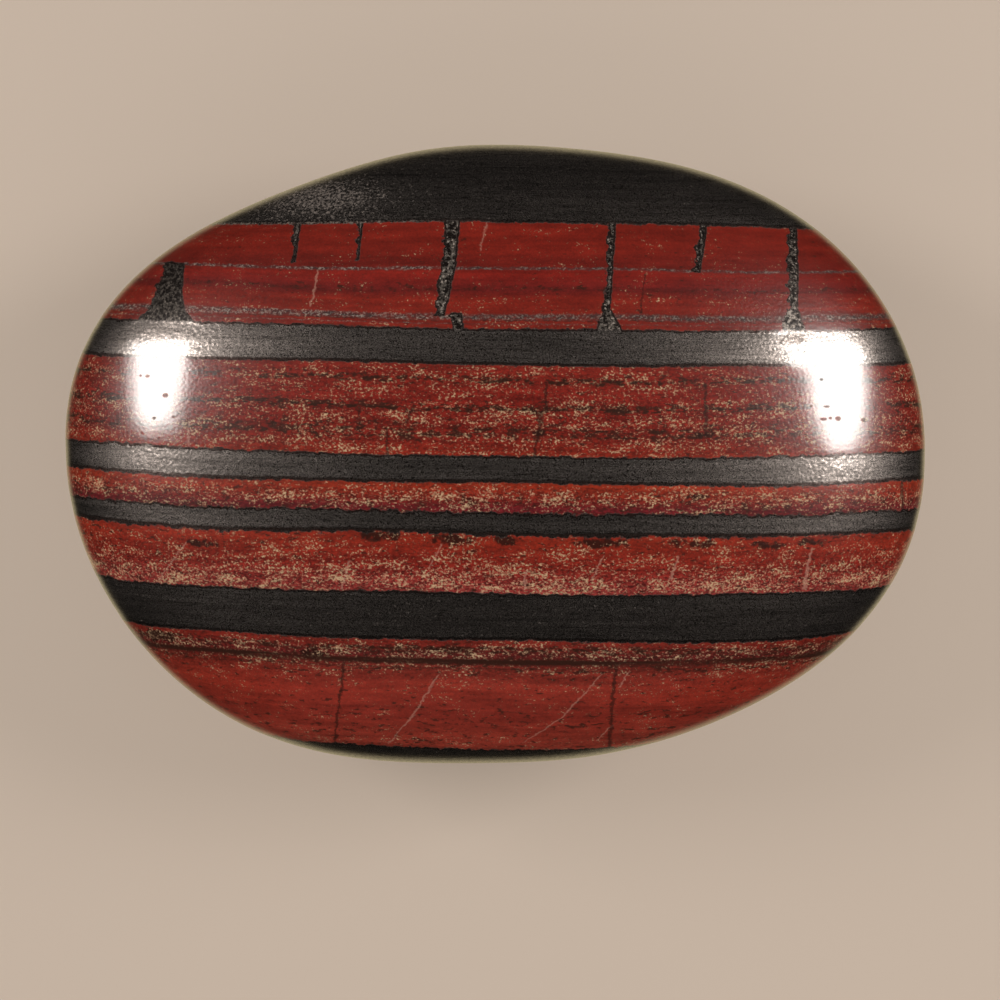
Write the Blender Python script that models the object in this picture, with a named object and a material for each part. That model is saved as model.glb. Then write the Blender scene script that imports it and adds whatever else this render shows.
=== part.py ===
"""A palm stone of red jasper with bands of hematite, polished to an oval.

It lies on its broad back, with the bands along X and the origin under its middle.
"""

import math

import bmesh
import bpy

MM = 0.001

# Driving sizes
LENGTH = 60.0 * MM  # X, along the bands
WIDTH = 43.2 * MM  # Y, across the bands
THICKNESS = 20.0 * MM  # Z, from the resting flat to the crown

# Form of the oval and of its two domes: a power of 2 is an ellipse, and more is squarer
OUTLINE_POWER = 2.15
DOME_POWER = 2.1
FLAT_CUT = 0.06  # share of the lower dome's height that the resting flat takes off

# Where hand polishing left the outline fuller: waves round it, height, direction of a crest in degrees
SWELLS = (
    (1, 0.21 * MM, -81.0),
    (2, 0.45 * MM, 49.0),
    (4, 0.10 * MM, -25.0),
    (5, 0.16 * MM, 21.0),
    (6, 0.18 * MM, -15.0),
)

# Fineness of the faceted solid
MERIDIANS = 96
PARALLELS = 32

JASPER_RED = (0.162, 0.021, 0.013, 1.0)
POLISH_ROUGHNESS = 0.12


def clear_scene():
    for obj in list(bpy.data.objects):
        bpy.data.objects.remove(obj, do_unlink=True)


def outline_radius(turn):
    """Distance from the middle to the girdle, in the direction given by turn."""
    along = abs(math.cos(turn)) / (LENGTH / 2)
    across = abs(math.sin(turn)) / (WIDTH / 2)
    radius = (along**OUTLINE_POWER + across**OUTLINE_POWER) ** (-1 / OUTLINE_POWER)
    for waves, height, crest in SWELLS:
        radius += height * math.cos(waves * (turn - math.radians(crest)))
    return radius


def on_the_stone(point):
    """Moves a point of the unit sphere onto the oval with its upper and lower dome."""
    turn = math.atan2(point.y, point.x)
    reach = min(1.0, math.hypot(point.x, point.y)) ** (2 / DOME_POWER)
    rise = min(1.0, abs(point.z)) ** (2 / DOME_POWER)
    radius = reach * outline_radius(turn)
    return (
        radius * math.cos(turn),
        radius * math.sin(turn),
        math.copysign(rise * THICKNESS / 2, point.z),
    )


def cut_resting_flat(solid):
    """Takes the bottom off the lower dome and closes the cut with one flat face."""
    level = -(1 - FLAT_CUT) * THICKNESS / 2
    bmesh.ops.bisect_plane(
        solid,
        geom=solid.verts[:] + solid.edges[:] + solid.faces[:],
        plane_co=(0, 0, level),
        plane_no=(0, 0, -1),
        clear_outer=True,
    )
    rim = [edge for edge in solid.edges if edge.is_boundary]
    bmesh.ops.contextual_create(solid, geom=rim)


def fit_to_sizes(solid):
    """Brings the solid to its driving sizes, standing on z = 0 under its middle."""
    low = [min(vert.co[axis] for vert in solid.verts) for axis in range(3)]
    high = [max(vert.co[axis] for vert in solid.verts) for axis in range(3)]
    for vert in solid.verts:
        for axis, size in enumerate((LENGTH, WIDTH, THICKNESS)):
            share = (vert.co[axis] - low[axis]) / (high[axis] - low[axis])
            vert.co[axis] = size * (share if axis == 2 else share - 0.5)


def stone_mesh():
    solid = bmesh.new()
    bmesh.ops.create_uvsphere(solid, u_segments=MERIDIANS, v_segments=PARALLELS, radius=1)
    for vert in solid.verts:
        vert.co = on_the_stone(vert.co)
    cut_resting_flat(solid)
    fit_to_sizes(solid)
    bmesh.ops.recalc_face_normals(solid, faces=solid.faces)
    mesh = bpy.data.meshes.new("stone")
    solid.to_mesh(mesh)
    solid.free()
    return mesh


def polished_jasper():
    material = bpy.data.materials.new("polished_jasper")
    material.use_nodes = True
    shader = material.node_tree.nodes["Principled BSDF"]
    shader.inputs["Base Color"].default_value = JASPER_RED
    shader.inputs["Roughness"].default_value = POLISH_ROUGHNESS
    shader.inputs["Metallic"].default_value = 0.0
    return material


def make_stone():
    mesh = stone_mesh()
    mesh.materials.append(polished_jasper())
    mesh.shade_smooth()
    mesh.set_sharp_from_angle(angle=math.radians(30))
    stone = bpy.data.objects.new("stone", mesh)
    collection = bpy.data.collections.new("red_jasper_palm_stone")
    bpy.context.scene.collection.children.link(collection)
    collection.objects.link(stone)


clear_scene()
make_stone()
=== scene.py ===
"""A polished palm stone of red jasper with bands and veins of hematite.

The stone is one piece. Its form is an oval with two domes and a resting flat. Its layers run
right through it, so one solid pattern, measured in mm, colours the front, the rim and the back.
"""

import math
from types import SimpleNamespace

import bpy
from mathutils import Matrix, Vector


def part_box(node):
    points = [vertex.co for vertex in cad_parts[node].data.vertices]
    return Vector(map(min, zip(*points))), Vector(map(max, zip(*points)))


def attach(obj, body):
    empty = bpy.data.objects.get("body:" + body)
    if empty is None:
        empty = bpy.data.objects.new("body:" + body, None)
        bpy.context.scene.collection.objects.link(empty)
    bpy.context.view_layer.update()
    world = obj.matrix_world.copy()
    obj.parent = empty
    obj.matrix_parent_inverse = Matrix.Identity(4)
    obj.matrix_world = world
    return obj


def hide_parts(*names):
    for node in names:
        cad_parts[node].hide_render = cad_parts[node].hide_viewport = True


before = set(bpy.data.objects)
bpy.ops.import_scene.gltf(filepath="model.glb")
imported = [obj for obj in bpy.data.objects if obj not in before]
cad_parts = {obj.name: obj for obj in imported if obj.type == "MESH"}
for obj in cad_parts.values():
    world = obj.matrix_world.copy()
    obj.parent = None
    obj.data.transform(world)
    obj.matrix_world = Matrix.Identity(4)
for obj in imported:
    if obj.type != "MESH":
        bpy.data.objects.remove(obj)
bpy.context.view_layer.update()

MM = 0.001

# Form of the stone: a power of 2 is an ellipse, and more is squarer
OUTLINE_POWER = 2.15
DOME_POWER = 2.1
FLAT_CUT = 0.06  # share of the lower dome's height that the resting flat takes off
FLAT_EDGE = 0.35  # how far in mm the edge of the flat is rounded over
MESH_SIDE = 120  # mesh divisions along each side of the cube that is blown up to the stone

# Where grinding left the outline fuller: waves round it, height in mm, direction in degrees
SWELLS = (
    (1, 0.21, -81.0),
    (2, 0.45, 49.0),
    (4, 0.10, -25.0),
    (5, 0.16, 21.0),
    (6, 0.18, -15.0),
)

# The layers lie almost square across the stone. Their height is counted along Y in mm,
# at the crown's level, and they lean a little along X and with the depth.
SLOPE = 0.0123
LEAN = 0.1058
CROWN_LEVEL = 20.0
WAVE_HEIGHT = 0.28  # how far the layers wave up and down
WAVE_FINENESS = (0.045, 0.16, 0.045)  # waves in a mm along X, Y and Z

# Hematite bands, lower and upper edge, and how ragged their edges are in mm
BANDS = (
    (15.02, 26.00, 0.05),
    (5.70, 8.22, 0.05),
    (-2.18, -0.30, 0.06),
    (-5.58, -4.15, 0.09),
    (-12.83, -9.50, 0.06),
    (-26.00, -20.77, 0.08),
)

# Thin grey seams of fine hematite and quartz in the red: height, half width, how much shows
GREY_SEAMS = (
    (12.07, 0.07, 0.85),
    (9.03, 0.17, 0.95),
    (8.55, 0.03, 0.40),
)

# Rows of dark dashes in the red, given in the same way
DARK_ROWS = (
    (8.79, 0.03, 0.85),
    (4.62, 0.17, 0.95),
    (3.05, 0.05, 0.60),
    (2.80, 0.10, 1.00),
    (1.42, 0.09, 0.85),
    (1.02, 0.07, 0.70),
    (10.85, 0.12, 0.40),
    (-13.40, 0.10, 0.80),
    (-14.86, 0.05, 0.60),
    (-17.90, 0.05, 0.35),
)

# The soft dark brown row under the fourth band, with finer ones beside it, given in the same way
BROWN_ROWS = (
    (-14.28, 0.19, 1.20),
    (-13.62, 0.06, 0.45),
    (-14.72, 0.05, 0.50),
)

# Hematite veins across the red layers: height and place of the upper end, height and place
# of the lower end, half width at both
VEINS = (
    (12.15, -22.00, 9.20, -22.15, 0.78, 0.98),
    (10.90, -22.18, 7.60, -22.40, 0.78, 1.70),
    (9.40, -22.25, 7.60, -22.35, 0.85, 2.70),
    (15.40, -13.40, 12.40, -13.53, 0.30, 0.10),
    (15.40, -9.07, 12.60, -9.19, 0.20, 0.09),
    (15.60, -2.82, 11.80, -3.12, 0.56, 0.42),
    (12.50, -2.99, 9.10, -3.70, 0.47, 0.34),
    (9.25, -2.55, 7.70, -2.47, 0.38, 0.42),
    (15.60, 7.90, 11.70, 7.64, 0.26, 0.20),
    (12.40, 7.68, 8.90, 7.40, 0.19, 0.27),
    (9.60, 7.43, 7.60, 7.64, 0.25, 1.10),
    (15.60, 14.15, 12.00, 13.54, 0.29, 0.22),
    (15.60, 20.42, 11.90, 20.18, 0.27, 0.38),
    (12.80, 20.21, 8.90, 20.09, 0.38, 0.30),
    (9.80, 20.11, 7.60, 19.98, 0.30, 1.10),
)

# Fine dark cracks in the red layers, given in the same way
CRACKS = (
    (11.76, 10.00, 9.30, 9.69, 0.05, 0.05),
    (1.36, -7.12, -0.30, -7.12, 0.10, 0.08),
    (3.10, -5.27, 1.84, -5.93, 0.12, 0.10),
    (4.60, 3.37, 2.62, 3.37, 0.07, 0.09),
    (2.75, 2.97, 1.30, 2.97, 0.20, 0.14),
    (1.30, 2.90, -0.30, 2.60, 0.10, 0.09),
    (4.60, 14.00, 1.10, 13.98, 0.07, 0.13),
    (2.78, -8.91, 1.66, -8.91, 0.07, 0.07),
    (-2.10, 27.80, -4.15, 27.95, 0.12, 0.12),
    (-14.50, -10.12, -20.80, -10.98, 0.09, 0.10),
    (-14.30, 8.16, -17.25, 7.89, 0.12, 0.11),
    (-17.25, 7.89, -20.80, 7.85, 0.09, 0.12),
)

# Healed hairlines, filled with pale quartz, given in the same way
HAIRLINES = (
    (12.10, -11.78, 9.50, -12.32, 0.08, 0.05),
    (15.10, -0.50, 13.20, -1.00, 0.03, 0.03),
    (-6.47, -20.72, -9.30, -22.80, 0.05, 0.05),
    (-7.53, -9.66, -9.38, -10.22, 0.05, 0.06),
    (-6.26, -3.56, -7.89, -4.36, 0.05, 0.04),
    (-7.87, 2.05, -9.10, 1.99, 0.05, 0.07),
    (-6.76, 7.15, -8.39, 6.43, 0.05, 0.04),
    (-6.77, 12.21, -8.33, 11.69, 0.05, 0.08),
    (-6.40, 21.35, -9.30, 20.80, 0.07, 0.13),
    (-15.23, -3.81, -18.07, -5.40, 0.05, 0.05),
    (-18.07, -5.40, -20.60, -7.31, 0.05, 0.03),
    (-15.02, 7.17, -18.21, 4.46, 0.03, 0.05),
    (-18.21, 4.46, -20.10, 1.95, 0.05, 0.03),
    (-14.89, 8.99, -15.91, 8.33, 0.04, 0.04),
    (-18.80, 7.94, -20.10, 6.96, 0.05, 0.04),
    (1.35, -20.52, -0.25, -20.52, 0.06, 0.05),
)

# Lobes and grains of hematite beside the bands: place, height, half length, half height
LOBES = (
    (-19.55, -6.50, 0.95, 0.24),
    (-7.75, -5.85, 1.30, 0.34),
    (-2.75, -5.95, 1.20, 0.42),
    (0.86, -5.80, 0.90, 0.32),
    (7.05, -6.00, 1.40, 0.26),
    (12.14, -5.90, 0.60, 0.24),
    (13.80, -6.00, 0.80, 0.22),
    (18.30, -6.15, 0.95, 0.28),
    (21.14, -5.95, 0.75, 0.26),
    (-2.04, -3.37, 0.60, 0.16),
    (13.30, -2.95, 0.90, 0.20),
    (2.95, 2.68, 0.55, 0.20),
    (2.80, 1.22, 0.60, 0.20),
    (13.95, 1.15, 0.45, 0.18),
    (-12.25, -13.95, 0.70, 0.38),
    (-23.00, -13.55, 1.20, 0.38),
    (-2.73, -13.40, 1.70, 0.12),
)

# Blacker seams just inside the lower edges of the bands: height, half width, how much shows
BLACK_SEAMS = (
    (15.12, 0.07, 0.60),
    (5.80, 0.10, 0.85),
    (-2.06, 0.10, 0.82),
    (-5.46, 0.11, 0.85),
    (-12.72, 0.09, 0.70),
)

# Lines of fine pale crystals along the edges of the bands, given in the same way
SUGAR_LINES = ((15.06, 0.06, 0.80),)

# Where pale dust and a painted sheen show in the top band: place, height, half length, half height
DUST_AND_SHEEN = (-12.2, 16.6, 7.0, 2.1)

# Red islands inside the third band's ragged underside, given in the same way
ISLANDS = (
    (-19.53, -5.98, 1.00, 0.20),
    (-17.19, -5.82, 0.85, 0.22),
)

# Small pits that the polish didn't reach: place in X and Y, half length, half height in mm
PITS = (
    (-22.15, 3.83, 0.22, 0.16),
    (-22.95, 2.30, 0.15, 0.11),
    (-23.45, 5.15, 0.18, 0.12),
    (-23.95, 5.20, 0.10, 0.10),
    (-21.57, 2.38, 0.12, 0.10),
    (-23.80, 1.30, 0.13, 0.10),
    (-22.60, 0.95, 0.12, 0.10),
    (22.06, 2.23, 0.26, 0.12),
    (22.55, 2.30, 0.14, 0.10),
    (23.10, 2.28, 0.22, 0.17),
    (24.95, 2.20, 0.22, 0.16),
    (22.30, 3.08, 0.24, 0.09),
    (21.20, 3.10, 0.12, 0.10),
    (21.95, 4.90, 0.14, 0.10),
    (20.80, 6.71, 0.13, 0.10),
)

# Red of the jasper from layer to layer: height in mm, sRGB
RED_LAYERS = (
    (15.0, "#761b0f"),
    (13.4, "#781b0f"),
    (12.4, "#66170f"),
    (11.7, "#7f1b11"),
    (10.8, "#661815"),
    (10.2, "#801f12"),
    (8.6, "#781f14"),
    (5.4, "#7d1f14"),
    (3.4, "#7d1c12"),
    (1.0, "#791c12"),
    (-2.3, "#942b13"),
    (-3.1, "#822416"),
    (-3.9, "#66171e"),
    (-5.8, "#8c2613"),
    (-7.6, "#801f14"),
    (-9.3, "#8a2f2b"),
    (-13.0, "#7a2014"),
    (-13.9, "#601917"),
    (-14.9, "#7c2519"),
    (-16.4, "#8e291a"),
    (-18.2, "#802519"),
    (-20.6, "#903224"),
)

# Share of pale specks from layer to layer: height in mm, share
SPECK_LAYERS = (
    (15.0, 0.00),
    (11.4, 0.02),
    (10.2, 0.23),
    (9.4, 0.12),
    (8.5, 0.30),
    (5.6, 0.48),
    (4.8, 0.58),
    (3.6, 0.53),
    (2.2, 0.69),
    (0.4, 0.62),
    (-2.2, 0.40),
    (-3.1, 0.84),
    (-4.0, 0.53),
    (-5.7, 0.35),
    (-7.2, 0.58),
    (-8.9, 0.97),
    (-9.5, 0.70),
    (-12.9, 0.35),
    (-13.5, 0.74),
    (-14.8, 0.48),
    (-15.8, 0.23),
    (-17.2, 0.05),
    (-19.5, 0.11),
    (-20.3, 0.32),
)

# Share of dark iron-rich streaks from layer to layer: height in mm, share
STREAK_LAYERS = (
    (15.0, 0.05),
    (11.2, 0.10),
    (10.9, 0.45),
    (10.5, 0.10),
    (8.5, 0.10),
    (5.3, 0.25),
    (4.7, 0.80),
    (4.3, 0.25),
    (3.3, 0.35),
    (2.9, 0.95),
    (2.4, 0.30),
    (1.5, 0.60),
    (1.1, 0.85),
    (0.6, 0.20),
    (-2.3, 0.15),
    (-3.6, 0.55),
    (-5.8, 0.45),
    (-7.0, 0.30),
    (-9.0, 0.35),
    (-13.1, 0.35),
    (-13.4, 0.75),
    (-15.0, 0.45),
    (-16.2, 0.25),
    (-18.2, 0.45),
    (-20.4, 0.40),
)

# The layers' whole range of heights, which the ramps cover
HEIGHT_LOW = -26.0
HEIGHT_HIGH = 24.0

# Grain sizes in mm. The real grains are from 0.02 mm and are drawn just coarse enough to show.
HEMATITE_GRAIN = 0.085
SPECK_GRAIN = 0.075
SHINY_GRAIN = 0.022
CLUSTER_SIZE = 0.9

# Grain of the minerals: how much finer along X, Y and Z, scale, detail and roughness of the noise
GRAINS = {
    "grain": ((0.8, 1.0, 1.0), 0.5 / SPECK_GRAIN, 1.5, 0.8),
    "cluster": ((0.5, 1.5, 1.0), 0.8 / CLUSTER_SIZE, 2.0, 0.65),
    "streak": ((0.10, 2.4, 0.10), 1.0, 2.0, 0.6),
    "mottle": ((3.2, 5.5, 3.2), 1.2, 1.0, 0.8),
    "dash": ((1.3, 3.2, 1.3), 1.0, 2.0, 0.75),
    "steel": ((0.8, 1.0, 1.0), 0.5 / HEMATITE_GRAIN, 2.0, 0.6),
    "split": ((0.16, 4.2, 0.16), 1.1, 1.0, 0.6),
}

# What shades each mineral: a grain, its low and high value, and how bright the mineral is there
RED_SHADES = (
    ("streak", 0.3, 0.7, 0.80, 1.20),
    ("cluster", 0.3, 0.7, 0.84, 1.16),
    ("grain", 0.3, 0.7, 1.20, 0.80),
)
STEEL_SHADES = (
    ("steel", 0.34, 0.66, 0.52, 1.48),
    ("streak", 0.3, 0.7, 0.78, 1.22),
)
SPLIT_SHADE = 0.48  # brightness of the fine dark lines in the hematite

# Raggedness and blacker rims in mm
BAND_RELIEF = 0.012  # how far the polish undercut the hematite bands
VEIN_RELIEF = 0.015  # and the veins
VEIN_SWAY = 0.16  # how far a vein's middle wanders
VEIN_RAG = 0.10
ROW_RAG = 0.07
FISSURE_RAG = 0.14
LOBE_RAG = 0.21
EDGE_LINE = 0.12  # blacker rim just inside a band or vein

# Colours, sRGB
STEEL_GREY = "#958c87"
RIM_BLACK = "#2a130c"
VEIN_BLACK = "#241d1a"
VEIN_GREY = "#7d756d"
CRYSTAL_AND_SHEEN_PALE = "#a1958c"
SUGAR_PALE = "#96887f"
SEAM_GREY = "#4a3c3b"
SEAM_PALE = "#aea096"
DASH_BROWN = "#381b12"
LOBE_BLACK = "#26110a"
ROW_DARK = "#33180e"
ROW_BROWN = "#34180f"
CRACK_BLACK = "#2a130c"
HEALED_PALE = "#b88a78"
SPECK_PINK = "#d1987b"
SPECK_CREAM = "#caaa85"

# The polish. Jasper is glassy under the coat that stands for it, and hematite is metallic.
JASPER_ROUGHNESS = 0.33
MATT_HEMATITE = 0.50
SHINY_HEMATITE = 0.22
SEAM_METAL = 0.4  # how metallic a grey seam is
VEIN_QUARTZ = 0.4  # share of quartz in a vein
PROUD = 0.02 * MM  # how far single grains could stand proud
PROUD_SCALE = 4.5
BODY_BUMP = 0.45  # share of it under the polish
POLISH_BUMP = 0.10  # and in the polish
FINISH = {"IOR": 1.54, "Specular IOR Level": 0.45, "Coat IOR": 1.7, "Coat Roughness": 0.10}

# The view straight down on the crown
CAMERA_X = 0.335
CAMERA_Y = -3.206
GIRDLE_LEVEL = 9.69
CAMERA_DISTANCE = 180.0  # above the girdle
CAMERA_LENS = 92.62
CAMERA_SENSOR = 36.0

# Studio lamps: the way to each from the stone, and in mm the outline of its bright middle and
# the outline where its soft rim ends, point by point
LEFT_AIM = (-0.765, 0.217, 0.606)
LEFT_MIDDLE = (
    (-72, -96), (-84, 9), (-46, 27), (-11, 37), (15, 38), (38, 36), (53, 3), (42, -24), (6, -42),
)
LEFT_RIM = (
    (-94, -215), (-100, 21), (-51, 57), (-14, 71), (25, 77), (71, 73), (93, -5), (75, -60), (14, -112),
)
RIGHT_AIM = (0.792, 0.242, 0.561)
RIGHT_MIDDLE = (
    (58, 77), (57, 46), (47, -76), (33, -88), (1, -64), (-39, -40), (-70, -11),
    (-82, 17), (-80, 46), (-59, 56), (-25, 62), (8, 49), (34, 49),
)
RIGHT_RIM = (
    (76, 102), (77, 31), (65, -139), (44, -180), (-7, -145), (-53, -100), (-90, -80),
    (-124, -24), (-107, 68), (-60, 98), (-23, 100), (9, 94), (39, 97),
)
LAMP_STRENGTH = 14.8
LAMP_DISTANCE = 400.0
RIM_STEPS = 6  # how many steps the soft rim of a lamp falls off in
RIM_POWER = 2.2  # how fast it falls off
FILL_AIM = (0.0, -0.82, 0.57)
FILL_DISTANCE = 700.0
FILL_LAMP = ((-420, -240), (-420, 240), (420, 240), (420, -240))
FILL_STRENGTH = 1.3
LAMP_WHITE = "#fffaf4"

# The room's light, linear: what the polish mirrors, the same low down where the board would be,
# and what falls on the stone softly from all round
ROOM_DARK = (0.012, 0.011, 0.010, 1.0)
ROOM_BELOW = (0.42, 0.35, 0.21, 1.0)
ROOM_SOFT = (0.27, 0.26, 0.25, 1.0)
ROOM_WALL = "#c3b3a4"

# The board that the stone lies on
BOARD_SIDE = 6.0
BOARD_TONES = ("#948980", "#988c82")
BOARD_GLOW = "#c8b6a4"
BOARD_FINISH = {"Emission Strength": 0.45, "Roughness": 0.9, "Specular IOR Level": 0.1}
CLOUDS_PER_METRE = 9.0

MATH = "ShaderNodeMath"
VECTOR = "ShaderNodeVectorMath"
RANGE = "ShaderNodeMapRange"
NOISE = "ShaderNodeTexNoise"
MIX = "ShaderNodeMix"
RAMP = "ShaderNodeValToRGB"


def linear(code):
    """An sRGB hex colour as linear red, green, blue and alpha."""
    channels = [int(code[i : i + 2], 16) / 255 for i in (1, 3, 5)]
    curve = [c / 12.92 if c <= 0.04045 else ((c + 0.055) / 1.055) ** 2.4 for c in channels]
    return (*curve, 1.0)


def add(tree, kind, *values, sockets=None, **settings):
    """Adds a node with its settings, feeds its sockets with values or links, gives its output."""
    made = tree.nodes.new(kind)
    for name, value in settings.items():
        setattr(made, name, value)
    feeds = list(enumerate(values)) + list((sockets or {}).items())
    for key, value in feeds:
        if value is None:
            continue
        if isinstance(key, str):
            socket = next(s for s in made.inputs if s.enabled and s.name == key)
        else:
            socket = made.inputs[key]
        if isinstance(value, bpy.types.NodeSocket):
            tree.links.new(value, socket)
        else:
            socket.default_value = value
    return next((s for s in made.outputs if s.enabled), None)


def across_layers(tree, place):
    """Place along the layers, height across them and depth, from a place in mm."""
    split = add(tree, "ShaderNodeSeparateXYZ", place)
    along = split
    depth = split.node.outputs["Z"]
    leaning = add(tree, VECTOR, place, (SLOPE, 1.0, LEAN), operation="DOT_PRODUCT")
    flat_height = add(tree, MATH, leaning.node.outputs["Value"], LEAN * CROWN_LEVEL, operation="SUBTRACT")
    stretched = add(tree, VECTOR, place, WAVE_FINENESS, operation="MULTIPLY")
    swell = add(tree, NOISE, sockets={"Vector": stretched, "Scale": 1.0, "Detail": 1.0})
    bend = add(tree, RANGE, swell, 0.2, 0.8, -WAVE_HEIGHT, WAVE_HEIGHT)
    height = add(tree, MATH, flat_height, bend, operation="ADD")
    layered = add(tree, "ShaderNodeCombineXYZ", along, height, depth)
    return along, height, layered


def in_threes(lines):
    """The lines three at a time, one for each part of a vector. The last one fills up the rest."""
    for first in range(0, len(lines), 3):
        three = list(lines[first : first + 3])
        yield three + [three[-1]] * (3 - len(three))


def greatest(tree, vectors):
    """The greatest of all the parts of several vectors."""
    most = None
    for vector in vectors:
        most = add(tree, VECTOR, most, vector, operation="MAXIMUM") if most else vector
    x, y, z = add(tree, "ShaderNodeSeparateXYZ", most).node.outputs
    top = add(tree, MATH, x, y, operation="MAXIMUM")
    return add(tree, MATH, top, z, operation="MAXIMUM")


def slabs(tree, along, height, lines):
    """Depth inside the nearest of many veins that cross the layers, in mm: more than 0 inside."""
    depths = []
    for three in in_threes(lines):
        lean = [(x_high - x_low) / (high - low) for high, x_high, low, x_low, _, _ in three]
        start = [line[3] - rate * line[2] for line, rate in zip(three, lean)]
        taper = [(line[4] - line[5]) / (line[0] - line[2]) for line in three]
        width = [line[5] - rate * line[2] for line, rate in zip(three, taper)]
        centre = [(line[0] + line[2]) / 2 for line in three]
        reach = [(line[0] - line[2]) / 2 for line in three]
        middle = add(tree, VECTOR, height, lean, start, operation="MULTIPLY_ADD")
        off = add(tree, VECTOR, along, middle, operation="SUBTRACT")
        off = add(tree, VECTOR, off, operation="ABSOLUTE")
        half = add(tree, VECTOR, height, taper, width, operation="MULTIPLY_ADD")
        side = add(tree, VECTOR, half, off, operation="SUBTRACT")
        ends = add(tree, VECTOR, height, centre, operation="SUBTRACT")
        ends = add(tree, VECTOR, ends, operation="ABSOLUTE")
        ends = add(tree, VECTOR, reach, ends, operation="SUBTRACT")
        depths.append(add(tree, VECTOR, side, ends, operation="MINIMUM"))
    return greatest(tree, depths)


def ovals(tree, along, height, spots):
    """Depth inside the nearest of many oval grains that lie along the layers, in mm."""
    depths = []
    for three in in_threes(spots):
        longs = [1 / spot[2] for spot in three]
        highs = [1 / spot[3] for spot in three]
        start = [-spot[0] / spot[2] for spot in three]
        level = [-spot[1] / spot[3] for spot in three]
        across = add(tree, VECTOR, along, longs, start, operation="MULTIPLY_ADD")
        across = add(tree, VECTOR, across, across, operation="MULTIPLY")
        up = add(tree, VECTOR, height, highs, level, operation="MULTIPLY_ADD")
        reach = add(tree, VECTOR, up, up, across, operation="MULTIPLY_ADD")
        half = [spot[3] / 2 for spot in three]
        less = [-value for value in half]
        depths.append(add(tree, VECTOR, reach, less, half, operation="MULTIPLY_ADD"))
    return greatest(tree, depths)


def layer_depths(tree, height, ragged):
    """Depth inside the nearest hematite band, in mm, with ragged edges."""
    depths = []
    for three in in_threes(BANDS):
        middle = [(low + high) / 2 for low, high, _ in three]
        half = [(high - low) / 2 for low, high, _ in three]
        rag = [2 * share for _, _, share in three]
        off = add(tree, VECTOR, height, middle, operation="SUBTRACT")
        off = add(tree, VECTOR, off, operation="ABSOLUTE")
        depth = add(tree, VECTOR, half, off, operation="SUBTRACT")
        depths.append(add(tree, VECTOR, ragged, rag, depth, operation="MULTIPLY_ADD"))
    return greatest(tree, depths)


def hematite_depths(tree, along, height, layered):
    """Depth inside the bands and inside the veins, in mm, with ragged edges."""
    crumble = {"Vector": layered, "Scale": 1.5, "Detail": 2.0, "Roughness": 0.70}
    fine = add(tree, NOISE, sockets=crumble)
    ragged = add(tree, RANGE, fine, 0.25, 0.75, -1.0, 1.0, clamp=False)
    bands = layer_depths(tree, height, ragged)
    islands = ovals(tree, along, height, ISLANDS)
    islands = add(tree, MATH, islands, -1.0, operation="MULTIPLY")
    bands = add(tree, MATH, bands, islands, operation="MINIMUM")
    shifted = add(tree, MATH, ragged, VEIN_SWAY, along, operation="MULTIPLY_ADD")
    veins = slabs(tree, shifted, height, VEINS)
    veins = add(tree, MATH, ragged, VEIN_RAG, veins, operation="MULTIPLY_ADD")
    return bands, veins, ragged


def rows(tree, height, lines):
    """How much of thin rows along the layers shows, from 0 to their strengths."""
    most = None
    for level, half, strength in lines:
        off = add(tree, MATH, height, level, operation="SUBTRACT")
        off = add(tree, MATH, off, operation="ABSOLUTE")
        line = add(tree, RANGE, off, half * 0.5, half * 1.5 + 0.02, strength, 0.0)
        most = add(tree, MATH, most, line, operation="MAXIMUM") if most else line
    return most


def layer_ramp(tree, height, stops):
    """A colour or a share that changes with the height in the layers."""
    span = HEIGHT_HIGH - HEIGHT_LOW
    share = add(tree, RANGE, height, HEIGHT_LOW, HEIGHT_HIGH, 0.0, 1.0)
    out = add(tree, RAMP, share)
    ramp = out.node.color_ramp
    ordered = sorted(stops)
    while len(ramp.elements) < len(ordered):
        ramp.elements.new(0.5)
    for element, (level, value) in zip(ramp.elements, ordered):
        element.position = (level - HEIGHT_LOW) / span
        element.color = linear(value) if isinstance(value, str) else (value, value, value, 1.0)
    return out


def shared_pattern(tree):
    """The places, depths and grains that both minerals are drawn from, all counted in mm."""
    shared = SimpleNamespace()
    spot = add(tree, "ShaderNodeTexCoord").node.outputs["Object"]
    shared.place = add(tree, VECTOR, spot, (1 / MM,) * 3, operation="MULTIPLY")
    shared.along, shared.height, shared.layered = across_layers(tree, shared.place)
    depths = hematite_depths(tree, shared.along, shared.height, shared.layered)
    shared.bands, shared.veins, shared.ragged = depths
    shared.lifted = add(tree, MATH, shared.ragged, ROW_RAG, shared.height, operation="MULTIPLY_ADD")
    for name, (finer, scale, detail, roughness) in GRAINS.items():
        place = add(tree, VECTOR, shared.layered, finer, operation="MULTIPLY")
        settings = {"Vector": place, "Scale": scale, "Detail": detail, "Roughness": roughness}
        setattr(shared, name, add(tree, NOISE, sockets=settings))
    return shared


def shading(tree, shared, shades):
    """What several grains together do to the brightness of a mineral."""
    whole = None
    for grain, low, high, dark, light in shades:
        part = add(tree, RANGE, getattr(shared, grain), low, high, dark, light)
        whole = add(tree, MATH, whole, part, operation="MULTIPLY") if whole else part
    return whole


def broken_rows(tree, shared, lines, grain, low, high, least):
    """Rows along the layers with gaps where a grain is low. least is what shows in a gap."""
    whole = rows(tree, shared.lifted, lines)
    gaps = add(tree, RANGE, grain, low, high, least, 1.0)
    return add(tree, MATH, whole, gaps, operation="MULTIPLY", use_clamp=True)


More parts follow.
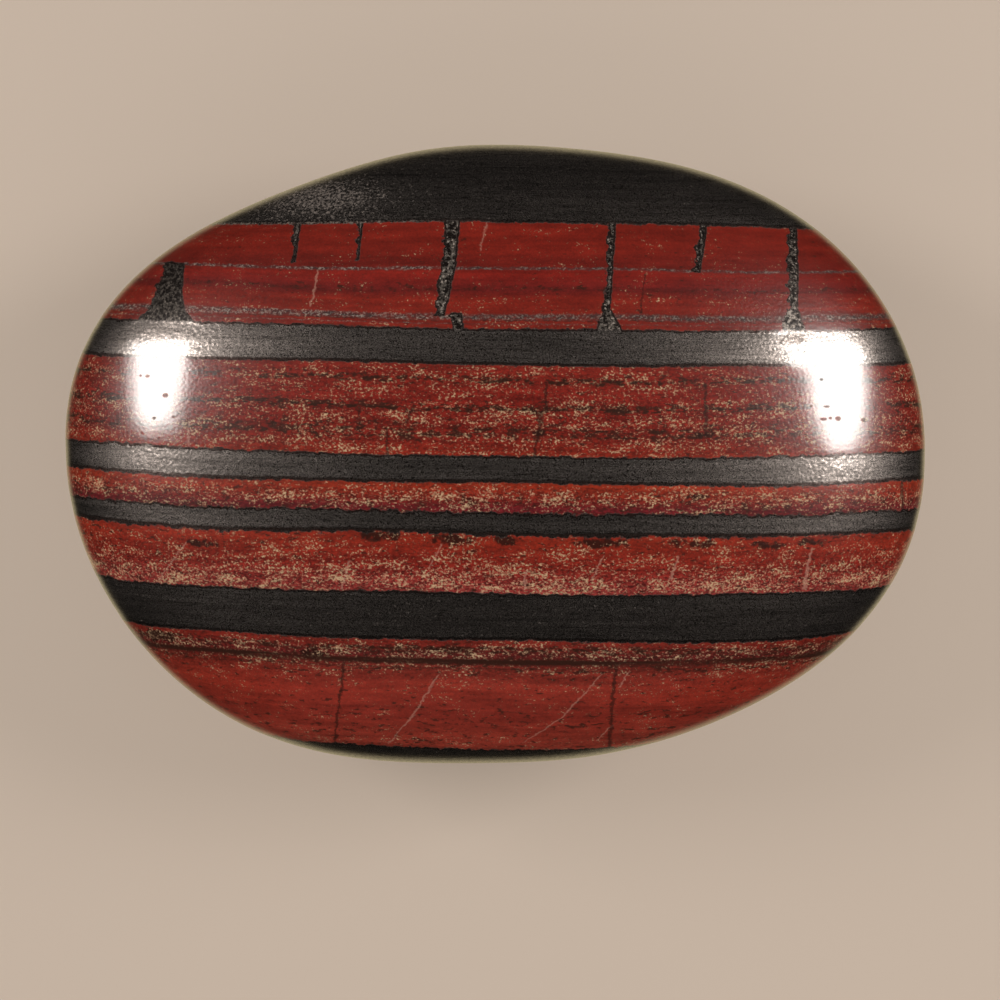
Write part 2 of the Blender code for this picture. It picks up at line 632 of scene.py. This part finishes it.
def fissures(tree, shared, lines, crumble, start, full, strength):
    """How much of fine fissures across the layers shows. crumble is how far grains break them."""
    wander = add(tree, MATH, shared.ragged, FISSURE_RAG, shared.along, operation="MULTIPLY_ADD")
    depth = slabs(tree, wander, shared.height, lines)
    depth = add(tree, MATH, shared.grain, crumble, depth, operation="MULTIPLY_ADD")
    return add(tree, RANGE, depth, start, full, 0.0, strength, interpolation_type="SMOOTHSTEP")


def layered_red(tree, shared, speckled):
    """Jasper without its marks: red from layer to layer, mottled darker where specks are thick."""
    red = layer_ramp(tree, shared.height, RED_LAYERS)
    shade = shading(tree, shared, RED_SHADES)
    mottle = add(tree, RANGE, shared.mottle, 0.35, 0.62, -0.70, 0.25)
    mottle = add(tree, MATH, mottle, speckled, 1.0, operation="MULTIPLY_ADD")
    shade = add(tree, MATH, shade, mottle, operation="MULTIPLY")
    return add(tree, VECTOR, red, operation="SCALE", sockets={"Scale": shade})


def iron_dashes(tree, shared):
    """Share of the iron-rich dashes that lie along the layers."""
    share = layer_ramp(tree, shared.height, STREAK_LAYERS)
    dash = add(tree, MATH, share, 0.26, shared.dash, operation="MULTIPLY_ADD")
    return add(tree, RANGE, dash, 0.66, 0.78, 0.0, 0.85, interpolation_type="SMOOTHSTEP")


def soft_lobes(tree, shared):
    """Share of the black lobes that hang from the bands."""
    lobes = ovals(tree, shared.along, shared.height, LOBES)
    lobes = add(tree, MATH, shared.ragged, LOBE_RAG, lobes, operation="MULTIPLY_ADD")
    return add(tree, RANGE, lobes, -0.10, 0.10, 0.0, 0.90, interpolation_type="SMOOTHSTEP")


def pale_specks(tree, shared, speckled):
    """Share and colour of the specks of quartz and carbonate, which crowd in clusters."""
    crowd = add(tree, RANGE, shared.cluster, 0.32, 0.68, -0.09, 0.09)
    crowd = add(tree, MATH, speckled, 0.22, crowd, operation="MULTIPLY_ADD")
    speck = add(tree, MATH, shared.grain, crowd, operation="ADD")
    share = add(tree, RANGE, speck, 0.68, 0.90, 0.0, 0.95)
    hue = add(tree, RANGE, shared.cluster, 0.42, 0.58, 0.0, 1.0)
    tones = {"Factor": hue, "A": linear(SPECK_PINK), "B": linear(SPECK_CREAM)}
    return share, add(tree, MIX, sockets=tones, data_type="RGBA")


def grey_seams(tree, shared):
    """Share and colour of the thin seams, dark grey with pale grains, paler towards the left."""
    share = broken_rows(tree, shared, GREY_SEAMS, shared.dash, 0.35, 0.60, 0.35)
    pale = add(tree, RANGE, shared.along, -4.5, -1.5, 0.9, 0.55)
    pale = add(tree, RANGE, shared.grain, 0.48, 0.62, 0.0, pale)
    tones = {"Factor": pale, "A": linear(SEAM_GREY), "B": linear(SEAM_PALE)}
    return share, add(tree, MIX, sockets=tones, data_type="RGBA")


def jasper(tree, shared, seam, seam_colour):
    """Opaque red jasper with the marks that grew in it or healed across it, laid on in order."""
    speckled = layer_ramp(tree, shared.height, SPECK_LAYERS)
    red = layered_red(tree, shared, speckled)
    specks, speck_colour = pale_specks(tree, shared, speckled)
    marks = (
        (iron_dashes(tree, shared), linear(DASH_BROWN)),
        (soft_lobes(tree, shared), linear(LOBE_BLACK)),
        (specks, speck_colour),
        (fissures(tree, shared, HAIRLINES, 0.14, 0.0, 0.12, 0.45), linear(HEALED_PALE)),
        (fissures(tree, shared, CRACKS, 0.28, 0.07, 0.20, 0.70), linear(CRACK_BLACK)),
        (broken_rows(tree, shared, DARK_ROWS, shared.dash, 0.40, 0.60, -0.10), linear(ROW_DARK)),
        (broken_rows(tree, shared, BROWN_ROWS, shared.streak, 0.34, 0.56, 0.50), linear(ROW_BROWN)),
        (seam, seam_colour),
    )
    for share, colour in marks:
        red = add(tree, MIX, sockets={"Factor": share, "A": red, "B": colour}, data_type="RGBA")
    return red


def steel(tree, shared):
    """Hematite: dark steel with lighter and blacker grains, split by fine dark lines."""
    bright = shading(tree, shared, STEEL_SHADES)
    split = add(tree, MATH, shared.split, 0.5, operation="SUBTRACT")
    split = add(tree, MATH, split, operation="ABSOLUTE")
    split = add(tree, RANGE, split, 0.0, 0.03, SPLIT_SHADE, 1.0)
    bright = add(tree, MATH, bright, split, operation="MULTIPLY")
    return add(tree, VECTOR, linear(STEEL_GREY)[:3], operation="SCALE", sockets={"Scale": bright})


def pale_dust_and_sheen(tree, shared):
    """Share of pale grains in the hematite: thick in one place of the top band, where they also paint its
    sheen, and scarce elsewhere.
    """
    dust_sheen_x, dust_sheen_height, dust_sheen_long, dust_sheen_high = DUST_AND_SHEEN
    off = add(tree, VECTOR, shared.layered, (dust_sheen_x, dust_sheen_height, 0.0), operation="SUBTRACT")
    off = add(tree, VECTOR, off, (1 / dust_sheen_long, 1 / dust_sheen_high, 0.0), operation="MULTIPLY")
    dust_and_sheen = add(tree, VECTOR, off, operation="LENGTH").node.outputs["Value"]
    # Painted sheen: the oval lays pale grains on thickly where the top band glows in the light, as well
    # as real dust
    dust_and_sheen = add(tree, RANGE, dust_and_sheen, 0.2, 1.1, 0.24, 0.0)
    dust_and_sheen = add(tree, MATH, dust_and_sheen, shared.grain, operation="ADD")
    return add(tree, RANGE, dust_and_sheen, 0.65, 0.85, 0.0, 0.55)


def vein_filling(tree, shared):
    """Share of the veins, the colour of their mottled filling, and its pale quartz crystals."""
    share = add(tree, RANGE, shared.veins, 0.06, 0.14, 0.0, 1.0)
    past_band = add(tree, RANGE, shared.bands, -0.05, 0.12, 1.0, 0.0)
    share = add(tree, MATH, share, past_band, operation="MULTIPLY")
    lumps = {"Vector": shared.place, "Scale": 3.4, "Detail": 1.0, "Roughness": 0.8}
    lump = add(tree, NOISE, sockets=lumps)
    strength = add(tree, RANGE, shared.along, -19.0, -15.0, 0.42, 0.95)
    tone = add(tree, RANGE, lump, 0.44, 0.62, 0.0, strength)
    tones = {"Factor": tone, "A": linear(VEIN_BLACK), "B": linear(VEIN_GREY)}
    filling = add(tree, MIX, sockets=tones, data_type="RGBA")
    crystal = add(tree, MATH, lump, 0.45, shared.grain, operation="MULTIPLY_ADD")
    crystal = add(tree, RANGE, crystal, 0.76, 0.94, 0.0, strength, interpolation_type="SMOOTHSTEP")
    crystal = add(tree, MATH, crystal, share, operation="MULTIPLY")
    return share, filling, crystal


def mineral_borders(tree, shared):
    """Share of hematite, and how much of the near-black rim of bands and veins shows."""
    veins = add(tree, MATH, shared.veins, 1.2, operation="MULTIPLY")
    inside = add(tree, MATH, shared.bands, veins, operation="MAXIMUM")
    inside = add(tree, MATH, shared.grain, 0.10, inside, operation="MULTIPLY_ADD")
    inside = add(tree, MATH, inside, 0.05, operation="SUBTRACT")
    metal = add(tree, RANGE, inside, -0.07, 0.05, 0.0, 1.0, interpolation_type="SMOOTHSTEP")
    core = EDGE_LINE * 0.4
    edge = add(tree, MATH, inside, core, operation="SUBTRACT")
    edge = add(tree, MATH, edge, operation="ABSOLUTE")
    edge = add(tree, RANGE, edge, core, EDGE_LINE, 1.0, 0.0, interpolation_type="SMOOTHSTEP")
    broken = add(tree, RANGE, shared.dash, 0.38, 0.62, 0.95, 0.60)
    edge = add(tree, MATH, edge, broken, operation="MULTIPLY")
    black = rows(tree, shared.lifted, BLACK_SEAMS)
    return metal, add(tree, MATH, edge, black, operation="MAXIMUM")


def sugar_crystals(tree, shared):
    """Share of the fine pale crystals along the edges of the bands, thickest at the left."""
    share = rows(tree, shared.lifted, SUGAR_LINES)
    fading = add(tree, RANGE, shared.along, -8.0, -3.0, 0.9, 0.15)
    share = add(tree, MATH, share, fading, operation="MULTIPLY")
    grains = add(tree, RANGE, shared.grain, 0.44, 0.60, 0.0, 1.0)
    return add(tree, MATH, share, grains, operation="MULTIPLY")


def metal_share(tree, metal, seam, quartz_shares, edge):
    """How metallic each place is: hematite, less what quartz or the brown rim takes from it."""
    metallic = add(tree, MATH, seam, SEAM_METAL, operation="MULTIPLY")
    metallic = add(tree, MATH, metal, metallic, operation="MAXIMUM")
    quartz = add(tree, RANGE, edge, 0.70, 0.95, 0.0, 0.30)
    for share in quartz_shares:
        quartz = add(tree, MATH, quartz, share, operation="MAXIMUM")
    left = add(tree, MATH, 1.0, quartz, operation="SUBTRACT")
    return add(tree, MATH, metallic, left, operation="MULTIPLY")


def grain_roughness(tree, shared, metallic):
    """Matt and shiny grains of hematite, finer than the picture shows, blend to its soft glow."""
    shiny = {"Vector": shared.place, "Scale": 0.5 / SHINY_GRAIN, "Detail": 0.0}
    mixed = add(tree, NOISE, sockets=shiny)
    mixed = add(tree, MATH, shared.steel, 0.7, mixed, operation="MULTIPLY_ADD")
    rough = add(tree, RANGE, mixed, 0.74, 0.90, MATT_HEMATITE, SHINY_HEMATITE)
    blend = {"Factor": metallic, "A": JASPER_ROUGHNESS, "B": rough}
    return add(tree, MIX, sockets=blend, data_type="FLOAT")


def banded_jasper():
    """Polished banded ironstone: opaque red jasper grown with metallic hematite.

    It was sawn, ground on finer and finer grit and tumbled with cerium oxide. The quartz takes
    a glassy polish that mirrors a lamp sharply, over a body that is red through and through.
    The hematite polishes to dark steel with a soft silvery glow, because its grains stay matt.
    """
    material = bpy.data.materials.new("polished_banded_jasper")
    material.use_nodes = True
    tree = material.node_tree
    shader = tree.nodes["Principled BSDF"]
    shared = shared_pattern(tree)
    seam, seam_colour = grey_seams(tree, shared)
    in_vein, filling, crystal = vein_filling(tree, shared)
    # Pale quartz crystals in the veins, and pale grains that also paint a sheen on the top band
    pale_grains_and_sheen = add(tree, MATH, crystal, pale_dust_and_sheen(tree, shared), operation="MAXIMUM")
    metal, edge = mineral_borders(tree, shared)
    sugar = sugar_crystals(tree, shared)

    # Both minerals, and what lies over them, from the lowest to the last
    colour = jasper(tree, shared, seam, seam_colour)
    dark = steel(tree, shared)
    for share, over in ((in_vein, filling), (pale_grains_and_sheen, linear(CRYSTAL_AND_SHEEN_PALE))):
        dark = add(tree, MIX, sockets={"Factor": share, "A": dark, "B": over}, data_type="RGBA")
    for share, over in ((metal, dark), (edge, linear(RIM_BLACK)), (sugar, linear(SUGAR_PALE))):
        colour = add(tree, MIX, sockets={"Factor": share, "A": colour, "B": over}, data_type="RGBA")

    vein_quartz = add(tree, MATH, in_vein, VEIN_QUARTZ, operation="MULTIPLY")
    metallic = metal_share(tree, metal, seam, (vein_quartz, pale_grains_and_sheen, sugar), edge)

    # Grains that stand a few thousandths of a mm proud, under the polish and through it
    proud = add(tree, NOISE, sockets={"Vector": shared.place, "Scale": PROUD_SCALE, "Detail": 0.0})
    bumps = [
        add(tree, "ShaderNodeBump", sockets={"Strength": share, "Distance": PROUD, "Height": proud})
        for share in (BODY_BUMP, POLISH_BUMP)
    ]

    # The polish is missing in the pits, which are placed as the stone is seen from above
    width = add(tree, "ShaderNodeSeparateXYZ", shared.place).node.outputs["Y"]
    pits = ovals(tree, shared.along, width, PITS)
    fed = {
        "Base Color": colour,
        "Metallic": metallic,
        "Roughness": grain_roughness(tree, shared, metallic),
        "Normal": bumps[0],
        "Coat Normal": bumps[1],
        "Coat Weight": add(tree, RANGE, pits, -0.02, 0.03, 1.0, 0.0),
    }
    for name, value in fed.items():
        tree.links.new(value, shader.inputs[name])
    for name, value in FINISH.items():
        shader.inputs[name].default_value = value
    return material


def stone_form():
    """Geometry nodes that blow a cube up to the oval with its two domes, flat and low relief."""
    tree = bpy.data.node_groups.new("palm_stone_form", "GeometryNodeTree")
    tree.interface.new_socket("Geometry", in_out="OUTPUT", socket_type="NodeSocketGeometry")
    sizes = (
        ("Length", "NodeSocketFloat", 60.0),
        ("Width", "NodeSocketFloat", 43.2),
        ("Thickness", "NodeSocketFloat", 20.0),
        ("Outline power", "NodeSocketFloat", OUTLINE_POWER),
        ("Dome power", "NodeSocketFloat", DOME_POWER),
        ("Flat cut", "NodeSocketFloat", FLAT_CUT),
        ("Relief", "NodeSocketFloat", 1.0),
        ("Divisions", "NodeSocketInt", MESH_SIDE),
        ("Finish", "NodeSocketMaterial", None),
    )
    for name, kind, value in sizes:
        socket = tree.interface.new_socket(name, in_out="INPUT", socket_type=kind)
        if value is not None:
            socket.default_value = value
    given = {s.name: s for s in tree.nodes.new("NodeGroupInput").outputs}
    length, width, thickness = given["Length"], given["Width"], given["Thickness"]

    cube = add(
        tree,
        "GeometryNodeMeshCube",
        (2.0, 2.0, 2.0),
        given["Divisions"],
        given["Divisions"],
        given["Divisions"],
    )
    # Spread the cube's grid evenly over a unit ball
    at = add(tree, "GeometryNodeInputPosition")
    at = add(tree, VECTOR, at, (math.pi / 4,) * 3, operation="MULTIPLY")
    at = add(tree, VECTOR, at, operation="TANGENT")
    at = add(tree, VECTOR, at, operation="NORMALIZE")
    split = add(tree, "ShaderNodeSeparateXYZ", at)
    x, y, z = split.node.outputs

    # Outline of the oval in the direction of each point
    turn = add(tree, MATH, y, x, operation="ARCTAN2")
    parts = []
    for swing, size in (("COSINE", length), ("SINE", width)):
        part = add(tree, MATH, turn, operation=swing)
        part = add(tree, MATH, part, operation="ABSOLUTE")
        part = add(tree, MATH, part, 2.0, operation="MULTIPLY")
        part = add(tree, MATH, part, size, operation="DIVIDE")
        parts.append(add(tree, MATH, part, given["Outline power"], operation="POWER"))
    radius = add(tree, MATH, *parts, operation="ADD")
    power = add(tree, MATH, -1.0, given["Outline power"], operation="DIVIDE")
    radius = add(tree, MATH, radius, power, operation="POWER")
    for waves, swell, crest in SWELLS:
        wave = add(tree, MATH, turn, float(waves), -waves * math.radians(crest), operation="MULTIPLY_ADD")
        wave = add(tree, MATH, wave, operation="COSINE")
        radius = add(tree, MATH, wave, swell, radius, operation="MULTIPLY_ADD")

    # Both domes
    power = add(tree, MATH, 2.0, given["Dome power"], operation="DIVIDE")
    reach = add(tree, VECTOR, add(tree, "ShaderNodeCombineXYZ", x, y), operation="LENGTH")
    reach = add(tree, MATH, reach.node.outputs["Value"], power, operation="POWER")
    radius = add(tree, MATH, reach, radius, operation="MULTIPLY")
    rise = add(tree, MATH, z, operation="ABSOLUTE")
    rise = add(tree, MATH, rise, power, operation="POWER")
    side = add(tree, MATH, z, operation="SIGN")
    rise = add(tree, MATH, rise, side, operation="MULTIPLY")
    half = add(tree, MATH, thickness, 0.5, operation="MULTIPLY")
    rise = add(tree, MATH, rise, half, operation="MULTIPLY")

    # The resting flat, with its edge rounded over
    level = add(tree, MATH, 1.0, given["Flat cut"], operation="SUBTRACT")
    level = add(tree, MATH, level, half, operation="MULTIPLY")
    level = add(tree, MATH, level, -1.0, operation="MULTIPLY")
    rise = add(tree, MATH, rise, level, FLAT_EDGE, operation="SMOOTH_MAX")

    cosine = add(tree, MATH, turn, operation="COSINE")
    sine = add(tree, MATH, turn, operation="SINE")
    x = add(tree, MATH, radius, cosine, operation="MULTIPLY")
    y = add(tree, MATH, radius, sine, operation="MULTIPLY")
    at = add(tree, "ShaderNodeCombineXYZ", x, y, rise)
    shaped = add(tree, "GeometryNodeSetPosition", cube, None, at)

    # Brought to its sizes, standing on z = 0 under its middle, in mm
    box = add(tree, "GeometryNodeBoundBox", shaped)
    low, high = box.node.outputs["Min"], box.node.outputs["Max"]
    at = add(tree, "GeometryNodeInputPosition")
    at = add(tree, VECTOR, at, low, operation="SUBTRACT")
    span = add(tree, VECTOR, high, low, operation="SUBTRACT")
    at = add(tree, VECTOR, at, span, operation="DIVIDE")
    at = add(tree, VECTOR, at, (0.5, 0.5, 0.0), operation="SUBTRACT")
    size = add(tree, "ShaderNodeCombineXYZ", length, width, thickness)
    at = add(tree, VECTOR, at, size, operation="MULTIPLY")
    fitted = add(tree, "GeometryNodeSetPosition", shaped, None, at)

    # Low relief: veins and bands a little undercut by the polish
    place = add(tree, "GeometryNodeInputPosition")
    along, height, layered = across_layers(tree, place)
    bands, veins, _ = hematite_depths(tree, along, height, layered)
    smooth = {"interpolation_type": "SMOOTHSTEP"}
    sunk = add(tree, RANGE, bands, -0.10, 0.30, 0.0, BAND_RELIEF, **smooth)
    vein_sunk = add(tree, RANGE, veins, -0.05, 0.30, 0.0, VEIN_RELIEF, **smooth)
    sunk = add(tree, MATH, sunk, vein_sunk, operation="ADD")
    sunk = add(tree, MATH, sunk, given["Relief"], operation="MULTIPLY")
    sunk = add(tree, MATH, sunk, -1.0, operation="MULTIPLY")
    face = add(tree, "GeometryNodeInputNormal")
    push = add(tree, VECTOR, face, operation="SCALE", sockets={"Scale": sunk})
    worn = add(tree, "GeometryNodeSetPosition", fitted, None, None, push)

    # Back to metres
    at = add(tree, "GeometryNodeInputPosition")
    at = add(tree, VECTOR, at, (MM, MM, MM), operation="MULTIPLY")
    metres = add(tree, "GeometryNodeSetPosition", worn, None, at)
    smooth = add(tree, "GeometryNodeSetShadeSmooth", metres, None, True)
    whole = add(tree, "GeometryNodeRealizeInstances", smooth)
    done = add(tree, "GeometryNodeSetMaterial", whole, None, given["Finish"])
    add(tree, "NodeGroupOutput", done)
    return tree


def carve_stone(finish):
    """Makes the stone as one plain mesh at the size of the solid that it stands for."""
    low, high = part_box("stone")
    tree = stone_form()
    rough = bpy.data.objects.new("stone_form", bpy.data.meshes.new("stone_form"))
    bpy.context.scene.collection.objects.link(rough)
    shaping = rough.modifiers.new("form", "NODES")
    shaping.node_group = tree
    chosen = {
        "Length": (high[0] - low[0]) / MM,
        "Width": (high[1] - low[1]) / MM,
        "Thickness": (high[2] - low[2]) / MM,
        "Finish": finish,
    }
    for socket in tree.interface.items_tree:
        if socket.name in chosen:
            shaping[socket.identifier] = chosen[socket.name]
    ready = rough.evaluated_get(bpy.context.evaluated_depsgraph_get())
    mesh = bpy.data.meshes.new_from_object(ready)
    rough.modifiers.clear()
    bpy.data.objects.remove(rough)
    mesh.name = "polished_stone"
    stone = bpy.data.objects.new("polished_stone", mesh)
    bpy.context.scene.collection.objects.link(stone)
    return stone


def pale_floor():
    """A wide board of matt beige glass, lit softly from behind, that the stone lies on."""
    material = bpy.data.materials.new("matt_backlit_board")
    material.use_nodes = True
    tree = material.node_tree
    shader = tree.nodes["Principled BSDF"]
    spot = add(tree, "ShaderNodeTexCoord").node.outputs["Object"]
    cloud = add(tree, NOISE, sockets={"Vector": spot, "Scale": CLOUDS_PER_METRE, "Detail": 0.0})
    share = add(tree, RANGE, cloud, 0.3, 0.7, 0.0, 1.0)
    tones = {"Factor": share, "A": linear(BOARD_TONES[0]), "B": linear(BOARD_TONES[1])}
    paint = add(tree, MIX, sockets=tones, data_type="RGBA")
    tree.links.new(paint, shader.inputs["Base Color"])
    for name, value in BOARD_FINISH.items():
        shader.inputs[name].default_value = value
    shader.inputs["Emission Color"].default_value = linear(BOARD_GLOW)
    material.cycles.emission_sampling = "NONE"
    mesh = bpy.data.meshes.new("floor")
    side = BOARD_SIDE / 2
    corners = [(-side, -side, 0), (side, -side, 0), (side, side, 0), (-side, side, 0)]
    mesh.from_pydata(corners, [], [(0, 1, 2, 3)])
    mesh.materials.append(material)
    floor = bpy.data.objects.new("floor", mesh)
    bpy.context.scene.collection.objects.link(floor)
    floor.visible_glossy = False
    return floor


def glowing(name, strength):
    """The light of one part of a lamp."""
    material = bpy.data.materials.new(name)
    material.use_nodes = True
    tree = material.node_tree
    tree.nodes.clear()
    glow = add(tree, "ShaderNodeEmission", linear(LAMP_WHITE), strength)
    add(tree, "ShaderNodeOutputMaterial", glow)
    return material


def lamp(name, aim, middle, strength, distance, rim=None):
    """A flat studio lamp that faces the stone, cut to an outline in mm. strength is its light.

    The outline is counted from the point that aim leads to: round the stone, and upwards.
    rim is the outline where the light has fallen off to nothing.
    """
    aim = Vector(aim).normalized()
    round_it = Vector((0, 0, 1)).cross(aim).normalized()
    upwards = aim.cross(round_it)
    count = len(middle)
    outlines = [middle]
    strengths = [strength]
    for step in range(RIM_STEPS if rim else 0):
        share = (step + 1) / RIM_STEPS
        outlines.append(
            [(a + (c - a) * share, b + (d - b) * share) for (a, b), (c, d) in zip(middle, rim)]
        )
        strengths.append(strength * (1 - (step + 0.5) / RIM_STEPS) ** RIM_POWER)
    centre = aim * distance
    points = [(centre + round_it * a + upwards * b) * MM for line in outlines for a, b in line]
    faces = [tuple(range(count))]
    for first in range(count, len(points), count):
        for i in range(count):
            j = (i + 1) % count
            faces.append((first - count + i, first - count + j, first + j, first + i))
    mesh = bpy.data.meshes.new(name)
    mesh.from_pydata(points, [], faces)
    for number, light in enumerate(strengths):
        mesh.materials.append(glowing(f"{name}_{number}", light))
    parts = [(i + count - 1) // count for i in range(len(faces))]
    mesh.polygons.foreach_set("material_index", parts)
    made = bpy.data.objects.new(name, mesh)
    made.visible_camera = False
    made.visible_shadow = False
    bpy.context.scene.collection.objects.link(made)
    return made


def studio():
    """Two bright lamps at the stone's sides, a soft fill from the front and a dim room."""
    lamp("lamp_left", LEFT_AIM, LEFT_MIDDLE, LAMP_STRENGTH, LAMP_DISTANCE, LEFT_RIM)
    lamp("lamp_right", RIGHT_AIM, RIGHT_MIDDLE, LAMP_STRENGTH, LAMP_DISTANCE, RIGHT_RIM)
    fill = lamp("fill_front", FILL_AIM, FILL_LAMP, FILL_STRENGTH, FILL_DISTANCE)
    fill.visible_glossy = False

    world = bpy.data.worlds.new("room")
    bpy.context.scene.world = world
    world.use_nodes = True
    tree = world.node_tree
    ground = tree.nodes["Background"]
    way = add(tree, "ShaderNodeTexCoord").node.outputs["Generated"]
    up = add(tree, "ShaderNodeSeparateXYZ", way).node.outputs["Z"]
    below = add(tree, RANGE, up, -0.88, -0.60, 1.0, 0.0, interpolation_type="SMOOTHSTEP")
    kind = add(tree, "ShaderNodeLightPath").node.outputs
    room = ROOM_DARK
    for share, light in (
        (below, ROOM_BELOW),
        (kind["Is Diffuse Ray"], ROOM_SOFT),
        (kind["Is Camera Ray"], linear(ROOM_WALL)),
    ):
        room = add(tree, MIX, sockets={"Factor": share, "A": room, "B": light}, data_type="RGBA")
    tree.links.new(room, ground.inputs["Color"])


def camera():
    """The camera looks straight down on the crown, close enough to foreshorten its rim."""
    eye = bpy.data.cameras.new("camera")
    eye.lens = CAMERA_LENS
    eye.sensor_width = CAMERA_SENSOR
    eye.clip_start = 0.01
    eye.clip_end = 20.0
    made = bpy.data.objects.new("camera", eye)
    made.location = (CAMERA_X * MM, CAMERA_Y * MM, (GIRDLE_LEVEL + CAMERA_DISTANCE) * MM)
    bpy.context.scene.collection.objects.link(made)
    bpy.context.scene.camera = made


camera()
stone = carve_stone(banded_jasper())
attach(stone, "root")
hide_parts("stone")
pale_floor()
studio()
bpy.context.scene.view_settings.view_transform = "Standard"
